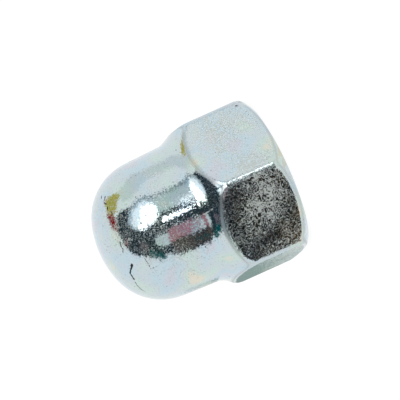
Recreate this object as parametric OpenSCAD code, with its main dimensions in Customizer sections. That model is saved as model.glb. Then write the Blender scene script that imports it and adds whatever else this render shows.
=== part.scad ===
// Cap nut, M12: a hexagon nut closed by a blunt dome, cold-forged in one piece and tapped.
// It stands on its bearing face. The origin is the centre of that face, and +Z is the
// thread's axis, up through the dome. Profiles are drawn as [radius, height].

/* [Overall] */
// Height from the bearing face to the top of the dome
total_h = 21.9; // [18:0.1:28]
// Width of the hexagon across its flats
across_flats = 18; // [15:0.1:22]

/* [Hexagon] */
// Height at which the flare crosses the middle of a flat
hex_h = 9.5; // [7.5:0.1:11.5]
// Radius of the six upright edges
edge_r = 0.75; // [0.1:0.05:1]
// How far the bearing ring stands in from the flats
bearing_step = 0.4; // [0.1:0.05:1]
// Angle of the bearing side's chamfer above the bearing face
bearing_angle = 35; // [20:1:45]

/* [Neck] */
// How far the dome stands in from the flats, at the height of the hexagon
dome_step = 0.68; // [0.3:0.01:1.2]
// Angle of the flare over the hexagon's corners, from the axis
flare_angle = 45; // [35:1:60]
// Radius of the hollow neck between the flare and the dome
neck_r = 2.7; // [1.5:0.1:3.5]

/* [Dome] */
// Draft of the dome's straight stretch, on each side
dome_draft = 1.9; // [0.5:0.1:4]
// Radius of the dome's shoulder
shoulder_r = 6.6; // [5:0.1:8]
// Radius of the dome's nose
nose_r = 11.2; // [9:0.1:14]

/* [Thread] */
// Nominal diameter of the thread
thread_d = 12; // [10:0.5:12.5]
// Pitch of the thread
pitch = 1.75; // [1:0.25:2]
// How much wider the countersink's mouth is than the thread
countersink_over = 1; // [0.2:0.1:1.5]
// Included angle of the countersink
countersink_angle = 90; // [80:1:120]
// Thickness of the dome on the axis, above the drill's point
crown_t = 3.2; // [2:0.1:5]
// Included angle of the drill's point
drill_angle = 118; // [90:1:140]

/* [Hidden] */
$fn = 144;
// A cutter runs this far past the face that it cuts.
over = 1;
// Rounds that are tangent overlap by this much, so that they cross instead of only touching.
seam = 0.002;

// Hexagon
flat_r = across_flats / 2;
corner_r = flat_r / cos(30);
edge_centre_r = (flat_r - edge_r + seam) / cos(30);
bearing_r = flat_r - bearing_step;
// The turned profile runs past the hexagon's corners, so that the flats cut it.
turned_r = corner_r + over;

// Dome: the draft line is its straight side. The shoulder is tangent to that line and, from
// inside, to the nose, so its centre lies shoulder_in from the line and nose_in from the nose's.
draft_out = [cos(dome_draft), sin(dome_draft)];
draft_up = [-sin(dome_draft), cos(dome_draft)];
dome_foot = [flat_r - dome_step, hex_h];
shoulder_fit_r = min(shoulder_r, dome_foot[0] - over);
shoulder_in = shoulder_fit_r - seam;
nose_in = nose_r - shoulder_fit_r + seam;
nose_c = [0, total_h - nose_r];
shoulder_line = dome_foot - shoulder_in * draft_out - nose_c;
shoulder_rise = sqrt(pow(nose_in, 2) - pow(shoulder_line * draft_out, 2)) - shoulder_line * draft_up;
shoulder_c = nose_c + shoulder_line + shoulder_rise * draft_up;
shoulder_foot = shoulder_c + shoulder_in * draft_out;
shoulder_top = nose_c + nose_r * unit(shoulder_c - nose_c);

// Neck: its centre lies outside both the draft line and the flare, a neck radius from each.
flare_out = [cos(flare_angle), sin(flare_angle)];
flare_foot = [flat_r, hex_h];
neck_c = meet(draft_out, draft_out * dome_foot + neck_r, flare_out, flare_out * flare_foot + neck_r);
neck_top = neck_c - neck_r * draft_out;
neck_foot = neck_c - neck_r * flare_out;
flare_low = [turned_r, hex_h - (turned_r - flat_r) / tan(flare_angle)];

// Bore
bore_r = (thread_d - 1.0825 * pitch) / 2;
mouth_r = (thread_d + countersink_over) / 2;
countersink_h = (mouth_r - bore_r) / tan(countersink_angle / 2);
drill_point_h = bore_r / tan(drill_angle / 2);
bore_h = total_h - crown_t - drill_point_h;

function unit(v) = v / norm(v);

function out(angle) = [cos(angle), sin(angle)];

// Point p where p*n1 = k1 and p*n2 = k2
function meet(n1, k1, n2, k2) =
    let (det = n1[0] * n2[1] - n1[1] * n2[0])
    [(k1 * n2[1] - k2 * n1[1]) / det, (n1[0] * k2 - n2[0] * k1) / det];

// Hexagon with a round on each corner. Its flats face +X and every 60 degrees from it. Each
// round crosses its two flats by seam, and the corner is cut off outside it.
module hex_outline() {
    difference() {
        polygon([for (i = [0:5]) corner_r * out(60 * i + 30)]);
        for (i = [0:5]) corner_cut(edge_centre_r * out(60 * i + 30), 60 * i);
    }
}

// What is cut off one corner, between the two flats that face angle and angle + 60
module corner_cut(centre, angle) {
    difference() {
        polygon([centre, centre + 3 * edge_r * out(angle), centre + 3 * edge_r * out(angle + 60)]);
        translate(centre) circle(r = edge_r);
    }
}

// Half profile of the bearing chamfer, the flare and the dome's drafted side, up to the shoulder
module straight_profile() {
    polygon([
        [0, 0],
        [bearing_r, 0],
        [turned_r, (turned_r - bearing_r) * tan(bearing_angle)],
        flare_low,
        neck_foot,
        neck_c,
        neck_top,
        shoulder_foot,
        shoulder_c,
        nose_c
    ]);
}

// Half profile of the nose: the round between the axis and the shoulder's top
module nose_profile() {
    intersection() {
        translate(nose_c) circle(r = nose_r);
        polygon([nose_c, nose_c + 2 * (shoulder_top - nose_c), nose_c + [0, 2 * nose_r]]);
    }
}

// Half profile of the shoulder's round, which reaches past the axis and is cut off there
module shoulder_profile() {
    intersection() {
        translate(shoulder_c) circle(r = shoulder_fit_r);
        translate([0, shoulder_c[1] - shoulder_fit_r]) square([turned_r, 2 * shoulder_fit_r]);
    }
}

// Half profile of the whole nut, as a lathe would turn it
module turned_profile() {
    difference() {
        straight_profile();
        translate(neck_c) circle(r = neck_r + seam);
    }
    shoulder_profile();
    nose_profile();
}

// Drill with its point, and the countersink at the mouth
module bore() {
    translate([0, 0, -over]) cylinder(r = bore_r, h = bore_h + over);
    translate([0, 0, bore_h]) cylinder(r1 = bore_r, r2 = 0, h = drill_point_h);
    cylinder(r1 = mouth_r, r2 = bore_r, h = countersink_h);
}

// The hexagon bar's flats cut the turned form, and the bore is drilled up from the bearing face.
module cap_nut() {
    color("lightsteelblue")
        difference() {
            intersection() {
                rotate_extrude() turned_profile();
                linear_extrude(height = total_h + over) hex_outline();
            }
            bore();
        }
}

cap_nut();
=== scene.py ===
"""Domed cap nut in bright zinc-plated steel: its looks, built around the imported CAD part.

The nut stands on its bearing face with the thread's axis upright. Sizes are in metres.
"""

import math

import bpy
import numpy as np
from mathutils import Matrix, Vector


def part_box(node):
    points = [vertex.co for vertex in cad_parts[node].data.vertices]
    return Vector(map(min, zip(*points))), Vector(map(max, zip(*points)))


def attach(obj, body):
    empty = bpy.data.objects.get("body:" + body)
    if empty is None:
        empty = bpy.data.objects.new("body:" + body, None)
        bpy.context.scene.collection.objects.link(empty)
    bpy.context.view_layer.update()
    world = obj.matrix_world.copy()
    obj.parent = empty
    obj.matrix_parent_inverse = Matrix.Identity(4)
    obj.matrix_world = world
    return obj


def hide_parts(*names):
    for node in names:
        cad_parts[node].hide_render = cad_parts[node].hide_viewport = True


bl_info = {
    "name": "Zinc-plated cap nut",
    "version": (1, 0, 0),
    "blender": (4, 5, 0),
    "location": "3D View > Sidebar > Cap nut",
    "description": "Models a domed hexagon cap nut, plates it and sets the stage for it",
    "category": "Add Mesh",
}

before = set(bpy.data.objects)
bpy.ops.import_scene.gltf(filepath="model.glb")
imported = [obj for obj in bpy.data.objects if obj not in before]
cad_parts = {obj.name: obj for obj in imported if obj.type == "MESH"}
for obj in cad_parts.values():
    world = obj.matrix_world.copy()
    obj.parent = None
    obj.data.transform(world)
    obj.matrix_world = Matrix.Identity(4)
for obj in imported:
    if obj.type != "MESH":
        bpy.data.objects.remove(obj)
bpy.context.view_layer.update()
CAD_LOW, CAD_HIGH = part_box("cap_nut")

MM = 0.001

# Vertices closer than this are one.
DOUBLE = 0.001 * MM

UP = Vector((0, 0, 1))
SIDES = 6
SECTOR = math.tau / SIDES


def length(name, description, default, high=1.0):
    """A size in metres that a user can change."""
    return bpy.props.FloatProperty(
        name=name, description=description, default=default, min=0.0, max=high,
        unit="LENGTH", subtype="DISTANCE", precision=5,
    )


def angle(name, description, degrees):
    """An angle that a user can change. Its default is given in degrees."""
    return bpy.props.FloatProperty(
        name=name, description=description, default=math.radians(degrees),
        unit="ROTATION", subtype="ANGLE",
    )


def share(name, description, default, high=1.0):
    """A plain number that a user can change."""
    return bpy.props.FloatProperty(
        name=name, description=description, default=default, min=0.0, max=high, subtype="FACTOR"
    )


def linear(code):
    """An sRGB hex colour as linear red, green and blue."""
    parts = [int(code[i:i + 2], 16) / 255 for i in (1, 3, 5)]
    return [c / 12.92 if c <= 0.04045 else ((c + 0.055) / 1.055) ** 2.4 for c in parts]


def colour(name, description, code):
    """A colour that a user can change. Its default is an sRGB hex value."""
    return bpy.props.FloatVectorProperty(
        name=name, description=description, default=linear(code), size=3, min=0.0, max=1.0,
        subtype="COLOR",
    )


class CapNutSizes(bpy.types.PropertyGroup):
    """Sizes of the nut, as its CAD part has them."""

    across_flats: length("Across flats", "Width over two flats", CAD_HIGH.x - CAD_LOW.x)
    height: length("Height", "Bearing face to the top of the dome", CAD_HIGH.z)
    hex_height: length("Hexagon height", "Where the flare crosses the middle of a flat", 9.5 * MM)
    edge_radius: length("Edge radius", "Round of the six upright edges", 0.75 * MM)
    arris: length("Arris", "How far the edges between flats and cones are eased", 0.5 * MM)
    corner: length("Corner", "How far the hexagon's corners are eased", 1.2 * MM)
    off_centre: length("Off centre", "How far the bearing side is off the hexagon", 0.18 * MM)
    off_towards: angle("Off towards", "Direction of that offset, from +X", 30)
    bearing_step: length("Bearing step", "Flats to the rim of the bearing face", 0.4 * MM)
    bearing_angle: angle("Bearing chamfer", "Chamfer above the bearing face", 35)
    dome_step: length("Dome step", "Flats to the dome, at the hexagon's height", 0.68 * MM)
    flare_angle: angle("Flare", "Flare over the hexagon's corners, from the axis", 45)
    neck_radius: length("Neck radius", "Hollow between the flare and the dome", 2.7 * MM)
    draft: angle("Dome draft", "Slope of the dome's straight stretch", 1.9)
    shoulder_radius: length("Shoulder radius", "Round of the dome's shoulder", 6.6 * MM)
    nose_radius: length("Nose radius", "Round of the dome's top", 11.2 * MM)
    thread: length("Thread", "Nominal diameter of the thread", 12 * MM)
    pitch: length("Pitch", "Pitch of the thread", 1.75 * MM)
    mouth_over: length("Mouth", "Countersink's mouth, over the thread", 1 * MM)
    countersink: angle("Countersink", "Included angle of the countersink", 90)
    crown: length("Crown", "Metal above the drill's point", 3.2 * MM)
    drill_point: angle("Drill point", "Included angle of the drill's point", 118)
    runout: length("Run-out", "Blind end of the bore that the tap doesn't reach", 1.6 * MM)
    tap_lead: length("Tap lead", "Length of the tap's tapered lead", 2.6 * MM)


class CapNutFinish(bpy.types.PropertyGroup):
    """Colours and grain of the bright zinc plating."""

    plating: colour("Plating", "Blue-white zinc", "#C9D6DB")
    sky: colour("Sky blue", "Passivation film where it is thinnest", "#C2D7E1")
    lilac: colour("Lilac", "Passivation film where it is thin", "#CBD1DB")
    peach: colour("Peach", "Passivation film where it is thick", "#DEDACB")
    sea: colour("Sea green", "Passivation film in between", "#C8DBD7")
    worn: colour("Worn edge", "Zinc rubbed dull along an edge", "#9C958C")
    frost_white: colour("Frost white", "Matt crystals of zinc", "#DADFDC")
    # Dark colour of pits and a nick, and of painted reflections of thin dark lines on the dome's
    # shoulder.
    pit_and_painted_line: colour("Scratch", "Bare metal in a scratch", "#23282A")
    film_patch: length("Film patch", "Width of a patch of tint", 3.4 * MM)
    grain: length("Grain", "Width of one grain of the plating", 0.11 * MM)
    crumb: length("Crumb", "Width of a cluster of grains", 0.22 * MM)
    dome_lean: share("Dome lean", "How far grains lean on the turned surfaces", 0.13, 4.0)
    flat_lean: share("Flat lean", "How far grains lean on the hexagon's flats", 0.32, 4.0)
    fibre: length("Fibre", "Spacing of the frosty threads in the plating", 0.36 * MM)
    wave: length("Wave", "Width of a frosty patch, and of a shallow hollow in the flats", 4.2 * MM)
    patch_seed: share("Patch seed", "Which frosty patches this nut has", 64.2, 100.0)
    roughness: share("Roughness", "Roughness of clear plating", 0.08)
    frost: share("Frost", "Roughness of frosty plating", 0.85)
    edge_roughness: share("Edge roughness", "Roughness of a rubbed edge", 0.42)
    flare_side: share("Flare side", "How much the frost thins towards the flare", 0.5)
    dome_frost: share("Dome frost", "How frosty the turned surfaces are, to the flats", 1.0)


class CapNutStage(bpy.types.PropertyGroup):
    """Camera, floor and surroundings."""

    azimuth: angle("Azimuth", "Camera round the nut, from the front", 53.1)
    elevation: angle("Elevation", "Camera above the floor", 11.3)
    roll: angle("Roll", "How far the camera is turned on its side", -114.2)
    distance: length("Distance", "Camera to the nut's middle", 1.429, high=10.0)
    width: length("Width", "Width that the camera sees there", 45.1 * MM)
    aside: length("Aside", "How far the nut stands to the left in the view", 1.33 * MM)
    below: length("Below", "How far the nut stands low in the view", 1.6 * MM)
    floor: colour("Floor", "Pale floor", "#F4F4F4")
    floor_glow: share("Floor glow", "How much of the floor's white takes no shadow", 0.88)
    daylight: share("Surround", "Level of the white surround", 1.0, 4.0)


class CapNutSettings(bpy.types.PropertyGroup):
    """Everything that a user would change."""

    sizes: bpy.props.PointerProperty(type=CapNutSizes)
    finish: bpy.props.PointerProperty(type=CapNutFinish)
    stage: bpy.props.PointerProperty(type=CapNutStage)


# ---------------------------------------------------------------- modelling helpers


def select_none():
    """Leaves nothing selected, so that an operator acts only on what is picked next."""
    if bpy.context.object and bpy.context.object.mode != "OBJECT":
        bpy.ops.object.mode_set(mode="OBJECT")
    bpy.ops.object.select_all(action="DESELECT")


def draw_outline(name, points):
    """Draws an outline of [radius, height] points in the XZ plane, by extruding one vertex."""
    select_none()
    first = points[0]
    bpy.ops.mesh.primitive_plane_add(size=MM, location=(first[0], 0, first[1]))
    piece = bpy.context.object
    piece.name = name
    piece.data.name = name
    bpy.ops.object.mode_set(mode="EDIT")
    bpy.ops.mesh.select_mode(type="VERT")
    bpy.ops.mesh.select_all(action="SELECT")
    bpy.ops.mesh.merge(type="CENTER")
    for here, there in zip(points, points[1:]):
        step = (there[0] - here[0], 0, there[1] - here[1])
        bpy.ops.mesh.extrude_region_move(TRANSFORM_OT_translate={"value": step})
    bpy.ops.object.mode_set(mode="OBJECT")
    bpy.ops.object.transform_apply(location=True, rotation=True, scale=True)
    return piece


def close_up(piece):
    """Merges doubles and turns every face outwards."""
    bpy.context.view_layer.objects.active = piece
    bpy.ops.object.mode_set(mode="EDIT")
    bpy.ops.mesh.select_all(action="SELECT")
    bpy.ops.mesh.remove_doubles(threshold=DOUBLE)
    bpy.ops.mesh.normals_make_consistent(inside=False)
    bpy.ops.object.mode_set(mode="OBJECT")


def vertex_array(mesh):
    """A mesh's vertices as rows of x, y and z."""
    places = np.zeros(len(mesh.vertices) * 3)
    mesh.vertices.foreach_get("co", places)
    return places.reshape(-1, 3)


def put_vertices(mesh, places):
    """Gives a mesh's vertices new places."""
    mesh.vertices.foreach_set("co", places.astype(np.float32).ravel())
    mesh.update()


# ---------------------------------------------------------------- outline of the nut


def arc(centre, radius, start, end, steps):
    """Points on an arc, angles in radians, both ends included."""
    angles = np.linspace(start, end, steps + 1)
    return [(centre[0] + radius * math.cos(a), centre[1] + radius * math.sin(a)) for a in angles]


def line(start, end, steps):
    """Points on a line, without the first and the last."""
    shares = np.linspace(0, 1, steps + 1)[1:-1]
    return [tuple(np.array(start) + (np.array(end) - start) * s) for s in shares]


def eased(before, corner, after, radius, steps=4):
    """The corner of an outline, eased by an arc."""
    before, corner, after = (np.array(p, float) for p in (before, corner, after))
    to_before = (before - corner) / np.linalg.norm(before - corner)
    to_after = (after - corner) / np.linalg.norm(after - corner)
    half = math.acos(float(np.clip(to_before @ to_after, -1, 1))) / 2
    middle = (to_before + to_after) / np.linalg.norm(to_before + to_after)
    centre = corner + middle * radius / math.sin(half)
    start = corner + to_before * radius / math.tan(half) - centre
    end = corner + to_after * radius / math.tan(half) - centre
    first = math.atan2(start[1], start[0])
    turn = math.atan2(start[0] * end[1] - start[1] * end[0], start @ end)
    return arc(centre, radius, first, first + turn, steps)


def meet(normal_a, level_a, normal_b, level_b):
    """The point whose distance along each normal is that normal's level."""
    return np.linalg.solve(np.array([normal_a, normal_b]), np.array([level_a, level_b]))


# How much smaller the tapped hole is than the thread, in pitches.
THREAD_DEPTH = 1.0825

# How far the turned form reaches past the hexagon's corners.
PAST_CORNERS = 0.5 * MM

# Spacing of the rows of vertices on the flare and the chamfer, where the flats cut them.
ROW = 0.05 * MM

# Small rounds at the bearing face's rim and at the bore's mouth.
RIM_ROUND = 0.2 * MM
MOUTH_ROUND = 0.12 * MM

# Rows of vertices along the rest of the outline.
NOSE_ROWS = 12
SHOULDER_ROWS = 36
SIDE_ROWS = 8
NECK_ROWS = 18
FLAT_ROWS = 22
RING_ROWS = 4
BORE_ROWS = 5


def bore_radius(sizes):
    """Radius of the hole that is tapped."""
    return (sizes.thread - THREAD_DEPTH * sizes.pitch) / 2


def bore_end_height(sizes):
    """Height at which the bore meets the drill's point."""
    return sizes.height - sizes.crown - bore_radius(sizes) / math.tan(sizes.drill_point / 2)


def reach(sizes):
    """Radius of the turned form before the flats are pressed, just past the hexagon's corners."""
    return sizes.across_flats / 2 / math.cos(SECTOR / 2) + PAST_CORNERS


def chamfer_height(sizes):
    """Height at which the bearing side's chamfer leaves the turned form."""
    rim = sizes.across_flats / 2 - sizes.bearing_step
    return (reach(sizes) - rim) * math.tan(sizes.bearing_angle)


def nut_outline(sizes):
    """Half outline of the turned nut: down from the dome's top, in under it and up the bore."""
    flat = sizes.across_flats / 2
    outer = reach(sizes)
    draft_out = np.array([math.cos(sizes.draft), math.sin(sizes.draft)])
    draft_up = np.array([-draft_out[1], draft_out[0]])
    flare_out = np.array([math.cos(sizes.flare_angle), math.sin(sizes.flare_angle)])
    dome_foot = np.array([flat - sizes.dome_step, sizes.hex_height])
    flare_foot = np.array([flat, sizes.hex_height])

    # The shoulder touches the drafted side and, from inside, the nose.
    nose_centre = np.array([0.0, sizes.height - sizes.nose_radius])
    gap = sizes.nose_radius - sizes.shoulder_radius
    start = dome_foot - sizes.shoulder_radius * draft_out - nose_centre
    rise = math.sqrt(gap**2 - (start @ draft_out) ** 2) - start @ draft_up
    shoulder_centre = nose_centre + start + rise * draft_up
    nose_end = math.atan2(*(shoulder_centre - nose_centre)[::-1])

    # The neck touches the drafted side and the flare.
    neck_centre = meet(
        draft_out, draft_out @ dome_foot + sizes.neck_radius,
        flare_out, flare_out @ flare_foot + sizes.neck_radius,
    )
    flare_end = (outer, sizes.hex_height - (outer - flat) / math.tan(sizes.flare_angle))

    rim = (flat - sizes.bearing_step, 0.0)
    chamfer_top = (outer, chamfer_height(sizes))
    bore = bore_radius(sizes)
    mouth = ((sizes.thread + sizes.mouth_over) / 2, 0.0)
    throat = (bore, (mouth[0] - bore) / math.tan(sizes.countersink / 2))
    point = (0.0, sizes.height - sizes.crown)
    bore_end = (bore, bore_end_height(sizes))

    nose = arc(nose_centre, sizes.nose_radius, math.pi / 2, nose_end, NOSE_ROWS)
    shoulder = arc(shoulder_centre, sizes.shoulder_radius, nose_end, sizes.draft, SHOULDER_ROWS)
    neck = arc(
        neck_centre, sizes.neck_radius,
        math.pi + sizes.draft, math.pi + sizes.flare_angle, NECK_ROWS,
    )
    flare_rows = round((neck[-1][1] - flare_end[1]) / ROW)
    chamfer_rows = round(chamfer_top[1] / ROW)
    rim_round = eased(chamfer_top, rim, mouth, RIM_ROUND)
    mouth_round = eased(rim, mouth, throat, MOUTH_ROUND)
    return [
        *nose, *shoulder[1:], *line(shoulder[-1], neck[0], SIDE_ROWS), *neck,
        *line(neck[-1], flare_end, flare_rows), flare_end,
        *line(flare_end, chamfer_top, FLAT_ROWS), chamfer_top,
        *line(chamfer_top, rim_round[0], chamfer_rows), *rim_round,
        *line(rim_round[-1], mouth_round[0], RING_ROWS), *mouth_round,
        *line(mouth_round[-1], throat, BORE_ROWS), throat,
        bore_end, *line(bore_end, point, BORE_ROWS), point,
    ]


# From the middle of one flat to the middle of the next, as steps and the angle that they reach:
# coarse over a flat's middle, fine at the upright edge.
STEPS_FROM_MIDDLE = ((9, 18.0), (9, 27.0), (15, 33.0), (9, 42.0), (9, 60.0))


def spin_round(piece):
    """Spins an outline round the axis, finer at the hexagon's upright edges."""
    bpy.context.view_layer.objects.active = piece
    bpy.ops.object.mode_set(mode="EDIT")
    bpy.ops.mesh.select_mode(type="VERT")
    bpy.ops.mesh.select_all(action="SELECT")
    for _side in range(SIDES):
        reached = 0.0
        for steps, end in STEPS_FROM_MIDDLE:
            turn = math.radians(end - reached)
            bpy.ops.mesh.spin(steps=steps, angle=turn, center=(0, 0, 0), axis=UP)
            reached = end
    bpy.ops.object.mode_set(mode="OBJECT")


def hexagon_radius(around, sizes):
    """Radius of the hexagon, with its rounded upright edges, at each angle round the axis."""
    flat = sizes.across_flats / 2
    off_flat = np.mod(around + SECTOR / 2, SECTOR) - SECTOR / 2
    off_edge = SECTOR / 2 - np.abs(off_flat)
    centre = (flat - sizes.edge_radius) / math.cos(SECTOR / 2)
    inside = np.clip(sizes.edge_radius**2 - (centre * np.sin(off_edge)) ** 2, 0, None)
    rounded = centre * np.cos(off_edge) + np.sqrt(inside)
    edge_start = SECTOR / 2 - math.atan2(
        sizes.edge_radius * math.sin(SECTOR / 2),
        centre + sizes.edge_radius * math.cos(SECTOR / 2),
    )
    return np.where(np.abs(off_flat) < edge_start, flat / np.cos(off_flat), rounded)


def edge_distance(around, radius):
    """How far a point lies from the nearest upright edge, along its flat."""
    off_flat = np.mod(around + SECTOR / 2, SECTOR) - SECTOR / 2
    return radius * np.sin(SECTOR / 2 - np.abs(off_flat))


# How deep the eased edges are cut, to the ease's width.
EASE_DEPTH = 0.25


def press_flats(piece, sizes):
    """Presses the six flats into the turned form, and eases the edges that this leaves."""
    places = vertex_array(piece.data)
    bearing_side = places[:, 2] < chamfer_height(sizes)
    towards_side = np.array([math.cos(sizes.off_towards), math.sin(sizes.off_towards)])
    outside = np.hypot(places[:, 0], places[:, 1]) > sizes.thread / 2 + sizes.mouth_over
    places[bearing_side & outside, :2] += sizes.off_centre * towards_side
    radius = np.hypot(places[:, 0], places[:, 1])
    around = np.arctan2(places[:, 1], places[:, 0])
    hexagon = hexagon_radius(around, sizes)
    slope = np.where(bearing_side, 1 / math.tan(sizes.bearing_angle), math.tan(sizes.flare_angle))
    to_cone = np.abs(radius - hexagon) / slope
    to_edge = edge_distance(around, hexagon)
    nearest = sizes.corner - np.hypot(
        np.clip(sizes.corner - to_cone, 0, None), np.clip(sizes.corner - to_edge, 0, None)
    )
    eased_by = [np.clip(1 - d / sizes.arris, 0, None) ** 2 for d in (nearest, to_edge)]
    depth = (eased_by[0] - eased_by[1]) * sizes.arris * slope * EASE_DEPTH
    pressed = np.minimum(radius, hexagon) - depth
    scale = np.where(radius > 0, pressed / np.maximum(radius, DOUBLE), 1)
    places[:, :2] *= scale[:, None]
    put_vertices(piece.data, places)


# ---------------------------------------------------------------- thread


# Slope of the thread's flanks, and the flat along its crest in pitches.
FLANK = math.radians(30)
CREST_FLAT = 1 / 8

# How far the tap's core is inside the bore, and how far the lead's tip is.
CORE_CLEAR = 0.25 * MM
TIP_CLEAR = 0.1 * MM

# How far the tap sticks out under the bearing face.
TAP_BELOW = 0.6 * MM

# Turns of thread that are trimmed off the tap's two ends, and steps in one turn.
TURNS_BELOW = 2
TURNS_ABOVE = 2
STEPS_A_TURN = 90


def make_tap(sizes):
    """A solid tap of the full thread, with a tapered lead, that ends short of the bore's end."""
    bore = bore_radius(sizes)
    crest = sizes.thread / 2
    root = bore - CORE_CLEAR
    flank = (crest - root) * math.tan(FLANK)
    land = sizes.pitch * CREST_FLAT
    tooth = [
        (root, 0.0), (crest, flank), (crest, flank + land), (root, 2 * flank + land),
        (root, sizes.pitch),
    ]
    tap = draw_outline("tap", [(r, z - TURNS_BELOW * sizes.pitch) for r, z in tooth])
    end = bore_end_height(sizes) - sizes.runout
    screw = tap.modifiers.new("helix", "SCREW")
    screw.axis = "Z"
    screw.angle = math.tau
    screw.screw_offset = sizes.pitch
    screw.iterations = math.ceil(end / sizes.pitch) + TURNS_BELOW + TURNS_ABOVE
    screw.steps = STEPS_A_TURN
    screw.render_steps = STEPS_A_TURN
    screw.use_merge_vertices = True
    screw.merge_threshold = DOUBLE
    bpy.ops.object.modifier_apply(modifier=screw.name)
    bpy.ops.object.mode_set(mode="EDIT")
    for height, up in ((-TAP_BELOW, -1), (end, 1)):
        bpy.ops.mesh.select_all(action="SELECT")
        bpy.ops.mesh.bisect(
            plane_co=(0, 0, height), plane_no=(0, 0, up), use_fill=True, clear_outer=True,
            threshold=DOUBLE,
        )
    bpy.ops.object.mode_set(mode="OBJECT")
    close_up(tap)
    places = vertex_array(tap.data)
    radius = np.hypot(places[:, 0], places[:, 1])
    lead = np.clip((places[:, 2] - (end - sizes.tap_lead)) / sizes.tap_lead, 0, 1)
    allowed = crest - lead * (crest - bore + TIP_CLEAR)
    scale = np.minimum(radius, allowed) / np.maximum(radius, DOUBLE)
    places[:, :2] *= scale[:, None]
    put_vertices(tap.data, places)
    return tap


def cut_thread(piece, sizes):
    """Cuts the thread into the bore."""
    tap = make_tap(sizes)
    select_none()
    bpy.context.view_layer.objects.active = piece
    piece.select_set(True)
    cut = piece.modifiers.new("thread", "BOOLEAN")
    cut.operation = "DIFFERENCE"
    cut.solver = "MANIFOLD"
    cut.object = tap
    before = len(piece.data.vertices)
    bpy.ops.object.modifier_apply(modifier=cut.name)
    bpy.data.objects.remove(tap)
    if len(piece.data.vertices) == before:
        raise RuntimeError("The thread wasn't cut.")


# ---------------------------------------------------------------- plating


def add_node(tree, kind, inputs=None, **settings):
    """Adds a node with its settings. Each input is a value, or a socket to link from."""
    node = tree.nodes.new(kind)
    for name, value in settings.items():
        setattr(node, name, value)
    for name, value in (inputs or {}).items():
        if isinstance(value, bpy.types.NodeSocket):
            tree.links.new(value, node.inputs[name])
        else:
            node.inputs[name].default_value = value
    return node


# Where the frost's threads start, on the turned surfaces and on the flats, and how fast they
# reach their full strength. A lower start makes them wider.
DOME_FROST_START = 0.185
FLAT_FROST_START = 0.105
FROST_FADE = 0.11

# How strongly the frost keeps to its patches, on the turned surfaces and on the flats.
DOME_PATCHES = -0.24
FLAT_PATCHES = 0.45

# Steepness over which frost turns glossier, and how much of its dullness is left.
STEEP = 0.7
STEEPEST = 0.9
GRAZING_FROST = 0.2

# Brightness of the few grains that are dark pits, of dull ones and of the rest, and where each
# begins among the grains. The rest brighten from there to white.
PIT = 0.12
DULL_GRAIN = 0.72
PALE_GRAIN = 0.95
GRAIN_STOPS = ((0.0, PIT), (0.05, PIT), (0.06, DULL_GRAIN), (0.2, PALE_GRAIN))

# How far each grain leans by itself, to how far a cluster does.
SINGLE = 0.4

# How far a hollow in a flat tilts it.
HOLLOW = 0.16

# Where the film changes tint, from thin to thick.
LILAC_TO = 0.30
SKY_AT = 0.42
PLATING_AT = 0.52
SEA_AT = 0.62
PEACH_FROM = 0.74

# How much a rubbed edge takes on its worn colour.
WORN_SHARE = 0.35

# Fine dark marks. The first ten runs, along the dome's shoulder, are painted reflections of thin
# dark lines round the nut; the last three darken two small pits and a nick. Each is half a width
# in millimetres, and a run of places: degrees round the axis from +X, and height in millimetres.
PITS_AND_PAINTED_LINES = (
    (0.13, ((-64, 20.2), (-66.5, 20.25))),
    (0.07, ((-67, 20.25), (-72, 20.45), (-78, 20.55), (-83, 20.45), (-87, 20.35))),
    (0.02, ((-92, 20.3), (-97, 20.2), (-103, 19.9), (-107, 19.5))),
    (0.03, ((-34, 20.45), (-39, 20.5), (-43, 20.45), (-47, 20.55))),
    (0.00, ((-58, 18.85), (-63, 18.7), (-70, 18.6), (-68.5, 18.0))),
    (0.05, ((31.5, 19.6), (30, 19.8))),
    (0.05, ((23.5, 19.45), (22, 19.7))),
    (0.05, ((20, 19.85), (15, 19.8))),
    (0.05, ((10, 19.85), (7.5, 20.0))),
    (0.03, ((2, 19.8), (-1.5, 19.85))),
    (0.03, ((-23.5, 16.95), (-23.5, 16.85))),
    (0.01, ((-28.5, 17.65), (-27, 17.8))),
    (0.05, ((26, 1.75), (26, 1.65))),
)

# A light scratch over the neck, as the dark ones.
LIGHT_RUNS = ((0.02, ((-42, 11.1), (-41.4, 10.4), (-40.7, 9.8))),)

# How far a run of marks fades at its sides, and how ragged the grain makes it.
RUN_FADE = 0.05 * MM
RUN_RAGGED = 0.3 * MM


def on_skin(around, height, sizes):
    """The place on the nut's outside at an angle in degrees and a height in millimetres."""
    outside = nut_outline(sizes)
    foot = next(i for i, point in enumerate(outside) if point[1] < sizes.arris)
    radii, heights = zip(*outside[foot::-1])
    turn = math.radians(around)
    radius = np.interp(height * MM, heights, radii)
    if height * MM < sizes.hex_height:
        radius = min(radius, hexagon_radius(turn, sizes))
    return Vector((radius * math.cos(turn), radius * math.sin(turn), height * MM))


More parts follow.
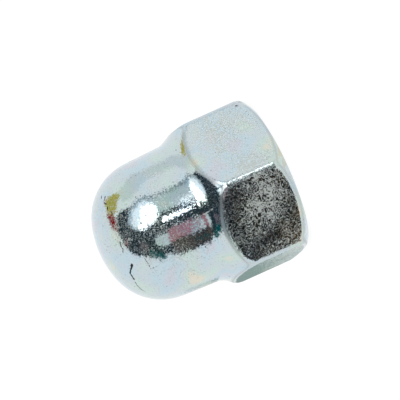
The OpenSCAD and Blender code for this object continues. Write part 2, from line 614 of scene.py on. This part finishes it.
def run_share(tree, place, ragged, runs, sizes):
    """How far inside the nearest of some runs of marks a place lies, from 0 to 1."""
    nearest = None
    for half_width, run in runs:
        corners = [on_skin(around, height, sizes) for around, height in run]
        for start, end in zip(corners, corners[1:]):
            along = end - start
            off = add_node(
                tree, "ShaderNodeVectorMath", {0: place, 1: start}, operation="SUBTRACT"
            )
            share_along = add_node(
                tree, "ShaderNodeVectorMath",
                {0: off.outputs[0], 1: along / along.length_squared}, operation="DOT_PRODUCT",
            )
            held = add_node(tree, "ShaderNodeClamp", {"Value": share_along.outputs["Value"]})
            foot = add_node(
                tree, "ShaderNodeVectorMath", {0: along, "Scale": held.outputs[0]},
                operation="SCALE",
            )
            gap = add_node(
                tree, "ShaderNodeVectorMath", {0: off.outputs[0], 1: foot.outputs[0]},
                operation="DISTANCE",
            )
            outside = add_node(
                tree, "ShaderNodeMath", {0: gap.outputs["Value"], 1: half_width * MM},
                operation="SUBTRACT",
            ).outputs[0]
            if nearest is not None:
                both = {0: nearest, 1: outside}
                outside = add_node(tree, "ShaderNodeMath", both, operation="MINIMUM").outputs[0]
            nearest = outside
    uneven = add_node(
        tree, "ShaderNodeMath", {0: ragged, 1: RUN_RAGGED, 2: nearest},
        operation="MULTIPLY_ADD",
    )
    full = RUN_RAGGED / 2
    return add_node(
        tree, "ShaderNodeMapRange",
        {"Value": uneven.outputs[0], "From Min": full + RUN_FADE, "From Max": full},
    ).outputs[0]


def zinc_plating(finish, sizes):
    """Bright zinc on cold-forged steel, barrel-plated and passivated blue-white.

    The eye sees a pale blue mirror with a fine grain. Each grain leans a little, so dark
    reflections break up into specks, and the clear film tints the pale ones in soft patches.
    """
    material = bpy.data.materials.new("zinc_plating")
    material.use_nodes = True
    tree = material.node_tree
    tree.nodes.clear()
    place = add_node(tree, "ShaderNodeTexCoord").outputs["Object"]
    normal = add_node(tree, "ShaderNodeNewGeometry").outputs["Normal"]
    on_flat = add_node(tree, "ShaderNodeAttribute", attribute_name="flat_share").outputs["Fac"]
    on_edge = add_node(tree, "ShaderNodeAttribute", attribute_name="edge_share").outputs["Fac"]
    on_frost = add_node(tree, "ShaderNodeAttribute", attribute_name="frost_share").outputs["Fac"]

    # Grains lean one by one, and in clusters. Both are drawn about as coarse as they show.
    grains = add_node(
        tree, "ShaderNodeTexVoronoi", {"Vector": place, "Scale": 1 / finish.grain},
        feature="F1", voronoi_dimensions="3D",
    )
    crumbs = add_node(
        tree, "ShaderNodeTexNoise",
        {"Vector": place, "Scale": 1 / finish.crumb, "Detail": 2.0, "Roughness": 0.6},
    )
    single = add_node(
        tree, "ShaderNodeVectorMath",
        {0: grains.outputs["Color"], 1: [SINGLE] * 3, 2: [-SINGLE / 2] * 3},
        operation="MULTIPLY_ADD",
    )
    cluster = add_node(
        tree, "ShaderNodeVectorMath",
        {0: crumbs.outputs["Color"], 1: single.outputs[0]}, operation="ADD",
    )
    both = add_node(
        tree, "ShaderNodeVectorMath", {0: cluster.outputs[0], 1: (0.5, 0.5, 0.5)},
        operation="SUBTRACT",
    )
    lean = add_node(
        tree, "ShaderNodeMapRange",
        {"Value": on_flat, "To Min": finish.dome_lean, "To Max": finish.flat_lean},
    )
    leaning = add_node(
        tree, "ShaderNodeVectorMath", {0: both.outputs[0], 1: lean.outputs[0], 2: normal},
        operation="MULTIPLY_ADD",
    )

    # Shallow hollows in the flats, from the forging.
    waves = add_node(
        tree, "ShaderNodeTexNoise",
        {"Vector": place, "W": finish.patch_seed, "Scale": 1 / finish.wave, "Detail": 1.0},
        noise_dimensions="4D",
    )
    hollow = add_node(
        tree, "ShaderNodeVectorMath", {0: waves.outputs["Color"], 1: (0.5, 0.5, 0.5)},
        operation="SUBTRACT",
    )
    depth = add_node(tree, "ShaderNodeMath", {0: on_flat, 1: HOLLOW}, operation="MULTIPLY")
    wavy = add_node(
        tree, "ShaderNodeVectorMath",
        {0: hollow.outputs[0], 1: depth.outputs[0], 2: leaning.outputs[0]},
        operation="MULTIPLY_ADD",
    )
    surface = add_node(tree, "ShaderNodeVectorMath", {0: wavy.outputs[0]}, operation="NORMALIZE")

    # Frost: fine pale threads that run together in patches.
    fibres = add_node(
        tree, "ShaderNodeTexNoise",
        {
            "Vector": place, "Scale": 1 / finish.fibre, "Detail": 2.0, "Roughness": 0.5,
            "Distortion": 1.5, "Offset": 0.5, "Gain": 1.0,
        },
        noise_type="RIDGED_MULTIFRACTAL", normalize=True,
    )
    centred = add_node(
        tree, "ShaderNodeMath", {0: waves.outputs[0], 1: 0.5}, operation="SUBTRACT"
    )
    keeping = add_node(
        tree, "ShaderNodeMapRange",
        {"Value": on_flat, "To Min": DOME_PATCHES, "To Max": FLAT_PATCHES},
    )
    patchy = add_node(
        tree, "ShaderNodeMath",
        {0: centred.outputs[0], 1: keeping.outputs[0], 2: fibres.outputs[0]},
        operation="MULTIPLY_ADD",
    )
    start = add_node(
        tree, "ShaderNodeMapRange",
        {"Value": on_flat, "To Min": DOME_FROST_START, "To Max": FLAT_FROST_START},
    )
    above = add_node(
        tree, "ShaderNodeMath", {0: patchy.outputs[0], 1: start.outputs[0]}, operation="SUBTRACT"
    )
    threads = add_node(
        tree, "ShaderNodeMapRange", {"Value": above.outputs[0], "From Max": FROST_FADE}
    )
    frosty = add_node(
        tree, "ShaderNodeMath", {0: threads.outputs[0], 1: on_frost}, operation="MULTIPLY"
    )

    # Fine marks. A light scratch is as dull as frost. The dark runs darken pits and a nick, and
    # paint reflections of thin dark lines onto the dome's shoulder.
    ragged = crumbs.outputs[0]
    light = run_share(tree, place, ragged, LIGHT_RUNS, sizes)
    dark = run_share(tree, place, ragged, PITS_AND_PAINTED_LINES, sizes)
    frosty = add_node(
        tree, "ShaderNodeMath", {0: frosty.outputs[0], 1: light}, operation="MAXIMUM"
    )

    # Frost seen along its surface is glossier.
    grazing = add_node(tree, "ShaderNodeLayerWeight")
    steep = add_node(
        tree, "ShaderNodeMapRange",
        {
            "Value": grazing.outputs["Facing"], "From Min": STEEP, "From Max": STEEPEST,
            "To Min": 1.0, "To Max": GRAZING_FROST,
        },
    )
    dulled = add_node(
        tree, "ShaderNodeMath", {0: frosty.outputs[0], 1: steep.outputs[0]}, operation="MULTIPLY"
    )
    frosted = add_node(
        tree, "ShaderNodeMapRange",
        {"Value": dulled.outputs[0], "To Min": finish.roughness, "To Max": finish.frost},
    )
    roughness = add_node(
        tree, "ShaderNodeMix",
        {"Factor": on_edge, "A": frosted.outputs[0], "B": finish.edge_roughness},
        data_type="FLOAT",
    )

    # Film: soft patches of tint, a few millimetres wide.
    film = add_node(
        tree, "ShaderNodeTexNoise",
        {"Vector": place, "Scale": 1 / finish.film_patch, "Detail": 1.5, "Roughness": 0.5},
    )
    ramp = add_node(tree, "ShaderNodeValToRGB", {"Fac": film.outputs["Fac"]})
    stops = ramp.color_ramp
    stops.interpolation = "EASE"
    stops.elements[0].position = LILAC_TO
    stops.elements[0].color = (*finish.lilac, 1)
    stops.elements[1].position = PEACH_FROM
    stops.elements[1].color = (*finish.peach, 1)
    between = ((SKY_AT, finish.sky), (PLATING_AT, finish.plating), (SEA_AT, finish.sea))
    for position, tint in between:
        stops.elements.new(position).color = (*tint, 1)

    # A few grains are dark pits, some are dull grey, and the rest differ a little.
    dusty = add_node(tree, "ShaderNodeValToRGB", {"Fac": grains.outputs["Color"]})
    shades = dusty.color_ramp
    shades.elements.remove(shades.elements[0])
    for position, grey in GRAIN_STOPS:
        shades.elements.new(position).color = (grey, grey, grey, 1)
    tinted = add_node(
        tree, "ShaderNodeVectorMath",
        {0: ramp.outputs["Color"], 1: dusty.outputs["Color"]}, operation="MULTIPLY",
    )
    rubbed = add_node(tree, "ShaderNodeMath", {0: on_edge, 1: WORN_SHARE}, operation="MULTIPLY")
    whitened = add_node(
        tree, "ShaderNodeMix",
        {"Factor": frosty.outputs[0], 6: tinted.outputs[0], 7: (*finish.frost_white, 1)},
        data_type="RGBA",
    )
    base = add_node(
        tree, "ShaderNodeMix",
        {"Factor": rubbed.outputs[0], 6: whitened.outputs[2], 7: (*finish.worn, 1)},
        data_type="RGBA",
    )
    # Painted reflections of thin dark lines, and the pits and the nick, in their dark colour.
    with_pits_and_painted_lines = add_node(
        tree, "ShaderNodeMix", {"Factor": dark, 6: base.outputs[2], 7: (*finish.pit_and_painted_line, 1)},
        data_type="RGBA",
    )

    shader = add_node(
        tree, "ShaderNodeBsdfPrincipled",
        {
            "Base Color": with_pits_and_painted_lines.outputs[2], "Metallic": 1.0, "Roughness": roughness.outputs[0],
            "Normal": surface.outputs[0],
        },
    )
    add_node(tree, "ShaderNodeOutputMaterial", {"Surface": shader.outputs["BSDF"]})
    return material


def store(mesh, name, values):
    """Keeps a number at every vertex, for the plating to read."""
    kept = mesh.attributes.new(name, "FLOAT", "POINT")
    kept.data.foreach_set("value", values.astype(np.float32))


# Width of the smooth rim round the frosty middle of a flat, and of its fade into that.
RIM = 0.12 * MM
FADE = 0.12 * MM

# The frost on a flat thins over this stretch of its height, as shares of the hexagon's height.
THINS_FROM = 0.62
THINS_OVER = 0.2

# The frost on the turned surfaces is this thin up to the neck's radius over the hexagon, and
# thickens from there.
LOW_FROST = 0.6

# How wide the rubbed strips are, at the cones to the arris and at the upright edges to their
# radius, and how far the upright edges and the hexagon's corners are rubbed, to the arrises.
CONE_STRIP = 0.6
UPRIGHT_STRIP = 0.7
UPRIGHT_RUB = 0.3
CORNER_RUB = 0.8

# How dull the bearing face and the bore are, to a rubbed edge.
MACHINED = 0.6


def mark_surface(piece, sizes, finish):
    """Marks how much of each vertex lies on a pressed flat, and how frosty and rubbed it is."""
    places = vertex_array(piece.data)
    height = places[:, 2]
    radius = np.hypot(places[:, 0], places[:, 1])
    around = np.arctan2(places[:, 1], places[:, 0])
    hexagon = hexagon_radius(around, sizes)
    flat = sizes.across_flats / 2
    rim = flat - sizes.bearing_step
    chamfer = rim + height / math.tan(sizes.bearing_angle)
    chamfer += sizes.off_centre * np.cos(around - sizes.off_towards)
    flare = flat + (sizes.hex_height - height) * math.tan(sizes.flare_angle)
    slopes = 1 / math.tan(sizes.bearing_angle), math.tan(sizes.flare_angle)
    to_cone = (np.minimum(chamfer, flare) - hexagon) / np.where(chamfer < flare, *slopes)
    to_edge = edge_distance(around, radius)
    inner = sizes.corner - np.hypot(
        np.clip(sizes.corner - to_cone, 0, None), np.clip(sizes.corner - to_edge, 0, None)
    )
    under = radius < rim - sizes.arris
    on_flat = np.clip((inner - RIM) / FADE, 0, 1)
    on_flat[under] = 0
    store(piece.data, "flat_share", on_flat)

    by_flare = np.clip((height / sizes.hex_height - THINS_FROM) / THINS_OVER, 0, 1)
    neck_radii = (height - sizes.hex_height) / sizes.neck_radius
    above_neck = np.clip(neck_radii - (1 - LOW_FROST), LOW_FROST, 1)
    frost = on_flat * (1 - by_flare * finish.flare_side)
    store(piece.data, "frost_share", frost + (1 - on_flat) * above_neck * finish.dome_frost)

    near_cone = np.clip(1 - np.abs(to_cone) / (CONE_STRIP * sizes.arris), 0, 1)
    near_edge = np.clip(1 - to_edge / (UPRIGHT_STRIP * sizes.edge_radius), 0, 1) * (to_cone > 0)
    clear_of_both = np.minimum(to_cone, to_edge) > 2 * RIM
    in_corner = np.clip((RIM - inner) / FADE, 0, 1) * clear_of_both
    edge = np.maximum.reduce((near_cone, UPRIGHT_RUB * near_edge, CORNER_RUB * in_corner))
    edge[under] = 0
    mouth = (sizes.thread + sizes.mouth_over) / 2
    bored = (radius < mouth + sizes.arris) & (height < sizes.height - sizes.crown + DOUBLE)
    bearing = (height < DOUBLE) & (radius < rim)
    edge[bored | bearing] = MACHINED
    store(piece.data, "edge_share", edge)


# Faces that meet at more than this stay crisp.
CRISP = math.radians(32)


class MakeCapNut(bpy.types.Operator):
    """Models the nut in one piece, with its thread, and plates it"""

    bl_idname = "mesh.cap_nut_make"
    bl_label = "Cap nut"

    def execute(self, context):
        settings = context.scene.cap_nut
        sizes = settings.sizes
        piece = draw_outline("plated_cap_nut", nut_outline(sizes))
        spin_round(piece)
        close_up(piece)
        press_flats(piece, sizes)
        close_up(piece)
        cut_thread(piece, sizes)
        close_up(piece)
        mark_surface(piece, sizes, settings.finish)
        select_none()
        bpy.context.view_layer.objects.active = piece
        piece.select_set(True)
        bpy.ops.object.shade_smooth_by_angle(angle=CRISP)
        piece.data.materials.clear()
        piece.data.materials.append(zinc_plating(settings.finish, sizes))
        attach(piece, "root")
        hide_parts("cap_nut")
        return {"FINISHED"}


# ---------------------------------------------------------------- stage


def camera_axes(stage):
    """Right, up and backwards of the camera."""
    flat = math.cos(stage.elevation)
    back = Vector((
        math.sin(stage.azimuth) * flat, -math.cos(stage.azimuth) * flat, math.sin(stage.elevation)
    ))
    level = UP.cross(back).normalized()
    upright = back.cross(level)
    right = level * math.cos(stage.roll) + upright * math.sin(stage.roll)
    return right, back.cross(right), back


def towards(axes, across, above):
    """The direction, from the nut, so many degrees to the camera's right and above it."""
    right, up, back = axes
    off = math.radians(math.hypot(across, above))
    if off == 0:
        return back.copy()
    sideways = (right * across + up * above).normalized()
    return back * math.cos(off) + sideways * math.sin(off)


# What stands round the nut and shows in the metal: name, colour, light, distance in metres, and
# corners in degrees to the right of the camera and above it, as the nut sees them.
CARDS = (
    ("room", "#2A383E", 1.0, 0.95,
     ((-83, 8), (-73, 20), (-57, 28), (-48, 33), (-20, 30), (0, 29), (14, 30), (20, 12),
      (23, -2), (26, -14), (38, -36), (32, -42), (12, -42), (9, -50), (-24, -50), (-54, -48),
      (-70, -38), (-82, -14))),
    ("grey_wall", "#CAD5D9", 1.0, 0.80,
     ((-57, 14), (-49, 31), (-38, 45), (-22, 53), (4, 55), (10, 50), (13.5, 38), (13, 26), (3, 24),
      (0, 14), (-10, 5), (-30, -8), (-46, -8), (-56, 0))),
    ("shelf_edge", "#8A9699", 1.0, 0.79,
     ((-52, 30), (-38, 44), (-22, 52), (3, 54), (4, 50), (-20, 48), (-35, 40), (-48, 27))),
    ("softbox_side", "#FFFFFF", 1.25, 0.61,
     ((-51, 6), (-48, 20), (-37, 35), (-26, 42), (-14, 42), (-38, -4), (-48, -2))),
    ("softbox", "#FFFFFF", 2.4, 0.60,
     ((-44, 10), (-39, 20), (-29, 32), (-18, 38), (-7, 41), (-3, 36), (0, 29), (1, 20), (0, 14),
      (-8, 7), (-18, 1), (-27, -6), (-36, -6), (-43, 3))),
    ("neck_light", "#FFFFFF", 2.4, 0.032,
     ((4, 31), (7, 26), (9.5, 20), (9.5, 16.5), (8, 17), (7, 22))),
    ("neck_glow", "#FFFFFF", 1.2, 0.0325,
     ((2, 30), (4, 31), (7, 26), (9, 21), (7, 20), (4, 24))),
    ("strip_light", "#FFFFFF", 4.0, 0.030,
     ((1, 12), (5, 13), (8, 13.3), (10, 13), (10.3, 10), (7, 8.3), (2, 6))),
    ("grey_board", "#DCE4E2", 1.0, 0.66,
     ((-6, -14), (15, -7), (20, -9), (24, -20), (20, -28), (8, -31), (-7, -29))),
    ("pink_paper", "#B57B84", 1.0, 0.030,
     ((9, -5), (13, -2), (15.8, -2.5), (18.4, -8), (21.8, -17.5), (20, -19), (13, -21), (9, -11))),
    ("pale_gap", "#B4BDC0", 1.0, 0.031,
     ((15, -2), (20, -5), (24, -14), (25, -20), (21, -18), (18, -8))),
    ("brown_cloth", "#554B46", 1.0, 0.031,
     ((12, -20), (22, -18), (25, -22), (31, -32), (30, -38), (21, -37), (17, -34))),
    ("teal_cloth", "#08595A", 1.0, 0.64,
     ((-20, -38), (-8, -40), (8, -42), (15, -45), (8, -53), (-8, -52), (-19, -47))),
    ("teal_box", "#0F5453", 1.0, 0.029, ((26, -23), (29, -25), (32, -30), (31.5, -34), (29, -31))),
    ("dark_bench", "#1B2026", 1.0, 0.062,
     ((27, -24), (32, -12), (44, -8), (56, -34), (56, -48), (45, -54), (40, -44), (29, -41))),
    ("dark_shelf", "#1D2022", 1.0, 0.0615,
     ((18, 22), (22.5, 22), (28, 9), (42, -8), (31, -13), (26, 0), (20, 6))),
    ("brown_bench", "#54483B", 1.0, 0.061,
     ((41, -4), (58, -4), (62, -36), (54, -46), (46, -37), (43, -28))),
    ("lilac_paper", "#6B5F66", 1.0, 0.68, ((-36, -26), (-22, -28), (-22, -42), (-38, -40))),
    ("yellow_paper", "#C6B450", 1.0, 0.60,
     ((-110, 38), (-102, 46), (-92, 52), (-84, 56), (-75, 53), (-74, 47), (-79, 40), (-82, 20),
      (-92, 12), (-106, 16))),
    ("red_paper", "#93121E", 1.0, 0.60, ((-106, 12), (-86, 14), (-82, -14), (-92, -16))),
    ("red_tag", "#A8404A", 1.0, 0.60, ((-70, -28), (-64, -28), (-65, -35), (-70, -35))),
    ("green_sheet", "#97AAA4", 1.0, 0.062,
     ((66, -156), (92, -146), (108, -122), (98, -106), (76, -108), (58, -130))),
    ("far_wall", "#D3DBD8", 1.0, 0.90, ((56, -124), (92, -134), (86, -172), (50, -168))),
    ("edge_light", "#FFFFFF", 4.0, 0.061, ((10, 38), (16, 39), (22, 27), (16, 24))),
    ("cream_wall", "#FFF1DF", 1.0, 0.90, ((90, 50), (128, 60), (122, 104), (92, 112))),
    ("grey_curtain", "#E6EAEA", 1.0, 1.05,
     ((-78, 58), (-67, 72), (-53, 92), (-36, 104), (-14, 92), (-32, 66), (-47, 47), (-66, 38))),
)


def place_card(axes, middle, name, code, level, distance, corners):
    """Cuts a card to its corners and hangs it facing the nut. Only reflections see it."""
    rays = [towards(axes, *corner) for corner in corners]
    facing = sum(rays, Vector()).normalized()
    bpy.ops.mesh.primitive_circle_add(vertices=len(corners), fill_type="NGON")
    card = bpy.context.object
    card.name = name
    for vertex, ray in zip(card.data.vertices, rays):
        vertex.co = middle + ray * (distance / ray.dot(facing))
    card.visible_camera = False
    card.visible_diffuse = False
    card.visible_shadow = False
    card.visible_transmission = False
    material = bpy.data.materials.new(name)
    material.use_nodes = True
    tree = material.node_tree
    tree.nodes.clear()
    glow = add_node(
        tree, "ShaderNodeEmission", {"Color": (*linear(code), 1), "Strength": level}
    )
    add_node(tree, "ShaderNodeOutputMaterial", {"Surface": glow.outputs["Emission"]})
    card.data.materials.append(material)


# Brightness of the board, lit and by itself together, to its colour.
BOARD = 1.08


def floor_material(stage):
    """Matt white board.

    Part of its white is its own, so that the nut's shadow stays light. It is clear from below,
    so that the nut's underside can be seen.
    """
    material = bpy.data.materials.new("white_board")
    material.use_nodes = True
    tree = material.node_tree
    tree.nodes.clear()
    geometry = add_node(tree, "ShaderNodeNewGeometry")
    path = add_node(tree, "ShaderNodeLightPath")
    board = add_node(
        tree, "ShaderNodeBsdfDiffuse",
        {"Color": (*[c * (BOARD - stage.floor_glow) for c in stage.floor], 1)},
    )
    seen = add_node(
        tree, "ShaderNodeMath", {0: path.outputs["Is Camera Ray"], 1: stage.floor_glow},
        operation="MULTIPLY",
    )
    glow = add_node(tree, "ShaderNodeEmission", {"Strength": seen.outputs[0]})
    lit = add_node(tree, "ShaderNodeAddShader", {0: board.outputs[0], 1: glow.outputs[0]})
    clear = add_node(tree, "ShaderNodeBsdfTransparent")
    either = add_node(
        tree, "ShaderNodeMixShader",
        {0: geometry.outputs["Backfacing"], 1: lit.outputs[0], 2: clear.outputs[0]},
    )
    add_node(tree, "ShaderNodeOutputMaterial", {"Surface": either.outputs[0]})
    return material


# Gap between the floor and the nut, so that neither hides the other where they would meet.
HAIR = 0.02 * MM

# Width of the floor. Width of the camera's sensor in millimetres, and the nearest and farthest
# that the camera sees.
FLOOR_SIZE = 4.0
SENSOR = 36.0
SEES_FROM = 0.1
SEES_TO = 10.0


class SetCapNutStage(bpy.types.Operator):
    """Sets up the camera, the floor, the white surround and the cards"""

    bl_idname = "scene.cap_nut_stage"
    bl_label = "Stage"

    def execute(self, context):
        scene = context.scene
        stage = scene.cap_nut.stage
        axes = camera_axes(stage)
        right, up, back = axes
        middle = Vector((0, 0, scene.cap_nut.sizes.height / 2))
        select_none()
        bpy.ops.object.camera_add()
        camera = context.object
        camera.name = "camera"
        camera.data.sensor_width = SENSOR
        camera.data.lens = SENSOR * stage.distance / stage.width
        camera.data.clip_start = SEES_FROM
        camera.data.clip_end = SEES_TO
        turn = Matrix((right, up, back)).transposed().to_4x4()
        spot = middle + back * stage.distance + right * stage.aside + up * stage.below
        camera.matrix_world = Matrix.Translation(spot) @ turn
        scene.camera = camera

        bpy.ops.mesh.primitive_plane_add(size=FLOOR_SIZE, location=(0, 0, -HAIR))
        floor = context.object
        floor.name = "floor"
        floor.visible_glossy = False
        floor.data.materials.append(floor_material(stage))
        for card in CARDS:
            place_card(axes, middle, *card)

        world = bpy.data.worlds.new("white_surround")
        scene.world = world
        world.use_nodes = True
        tree = world.node_tree
        tree.nodes.clear()
        sky = add_node(
            tree, "ShaderNodeBackground", {"Color": (1, 1, 1, 1), "Strength": stage.daylight}
        )
        add_node(tree, "ShaderNodeOutputWorld", {"Surface": sky.outputs[0]})
        scene.view_settings.view_transform = "Standard"
        return {"FINISHED"}


class CapNutPanel(bpy.types.Panel):
    """Lists what can be made and what can be changed"""

    bl_idname = "VIEW3D_PT_cap_nut"
    bl_label = "Cap nut"
    bl_space_type = "VIEW_3D"
    bl_region_type = "UI"
    bl_category = "Cap nut"

    def draw(self, context):
        layout = self.layout
        settings = context.scene.cap_nut
        layout.operator(MakeCapNut.bl_idname)
        layout.operator(SetCapNutStage.bl_idname)
        for group in (settings.sizes, settings.finish, settings.stage):
            box = layout.box()
            for name in group.__annotations__:
                box.prop(group, name)


CLASSES = (
    CapNutSizes, CapNutFinish, CapNutStage, CapNutSettings, MakeCapNut, SetCapNutStage,
    CapNutPanel,
)


def register():
    for cls in CLASSES:
        bpy.utils.register_class(cls)
    bpy.types.Scene.cap_nut = bpy.props.PointerProperty(type=CapNutSettings)


def unregister():
    del bpy.types.Scene.cap_nut
    for cls in reversed(CLASSES):
        bpy.utils.unregister_class(cls)


def main():
    register()
    bpy.ops.mesh.cap_nut_make()
    bpy.ops.scene.cap_nut_stage()


if __name__ == "__main__":
    main()
